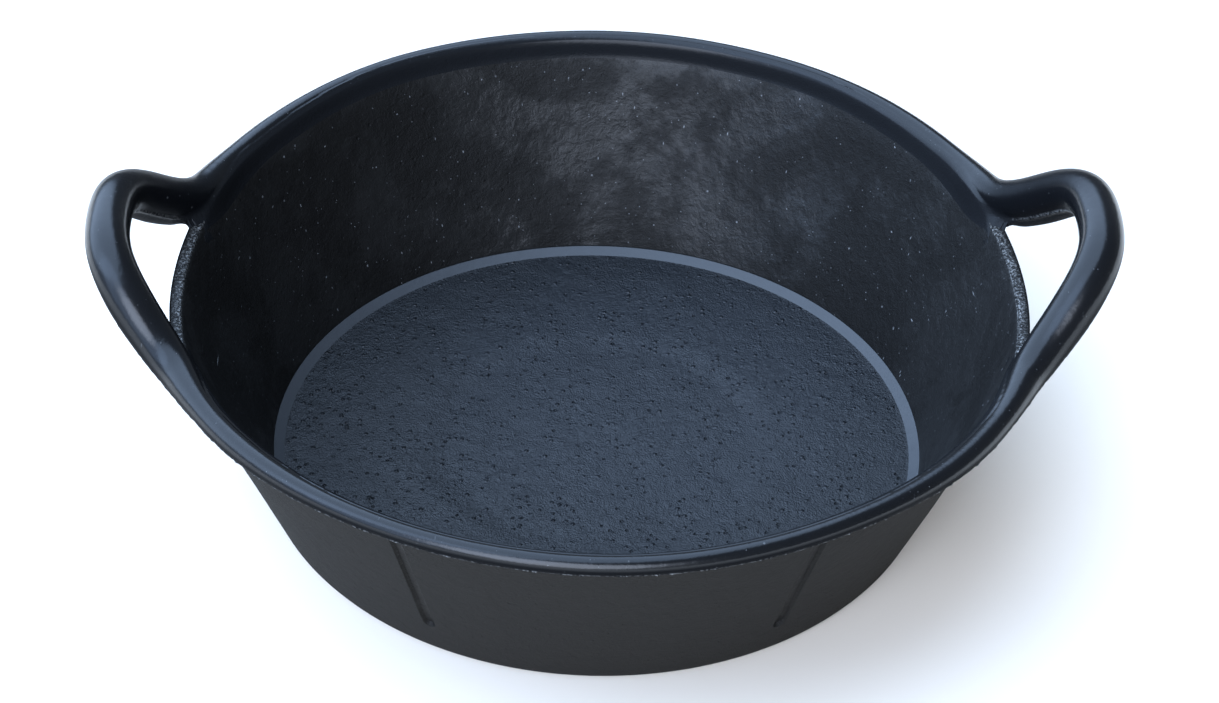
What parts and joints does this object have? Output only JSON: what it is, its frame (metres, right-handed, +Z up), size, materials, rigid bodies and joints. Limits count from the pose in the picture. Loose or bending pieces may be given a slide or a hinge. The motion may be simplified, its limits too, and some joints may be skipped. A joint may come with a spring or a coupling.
{
  "type": "rubber tub",
  "caption": "Round moulded-rubber mixing and feed tub with a sloping wall, a rolled rim bead and two loop handles raised from the rim.",
  "frame": {"origin": "centre of the underside, on the floor the tub stands on", "axes": "+Z up, handles on +X and -X, front at -Y"},
  "size_m": [0.6398, 0.5576, 0.1991],
  "materials": {
    "moulded_floor": "satin, pitted",
    "moulded_wall": "matte, scuffed",
    "polished_rim": "satin, smooth"
  },
  "bodies": {
    "root": {"floor_disc": "moulded_floor", "heel_ring": "moulded_wall", "wall_band": "moulded_wall", "rim_bead_front": "polished_rim", "rim_bead_back": "polished_rim", "handle_left": "polished_rim", "handle_right": "polished_rim"}
  },
  "joints": []
}
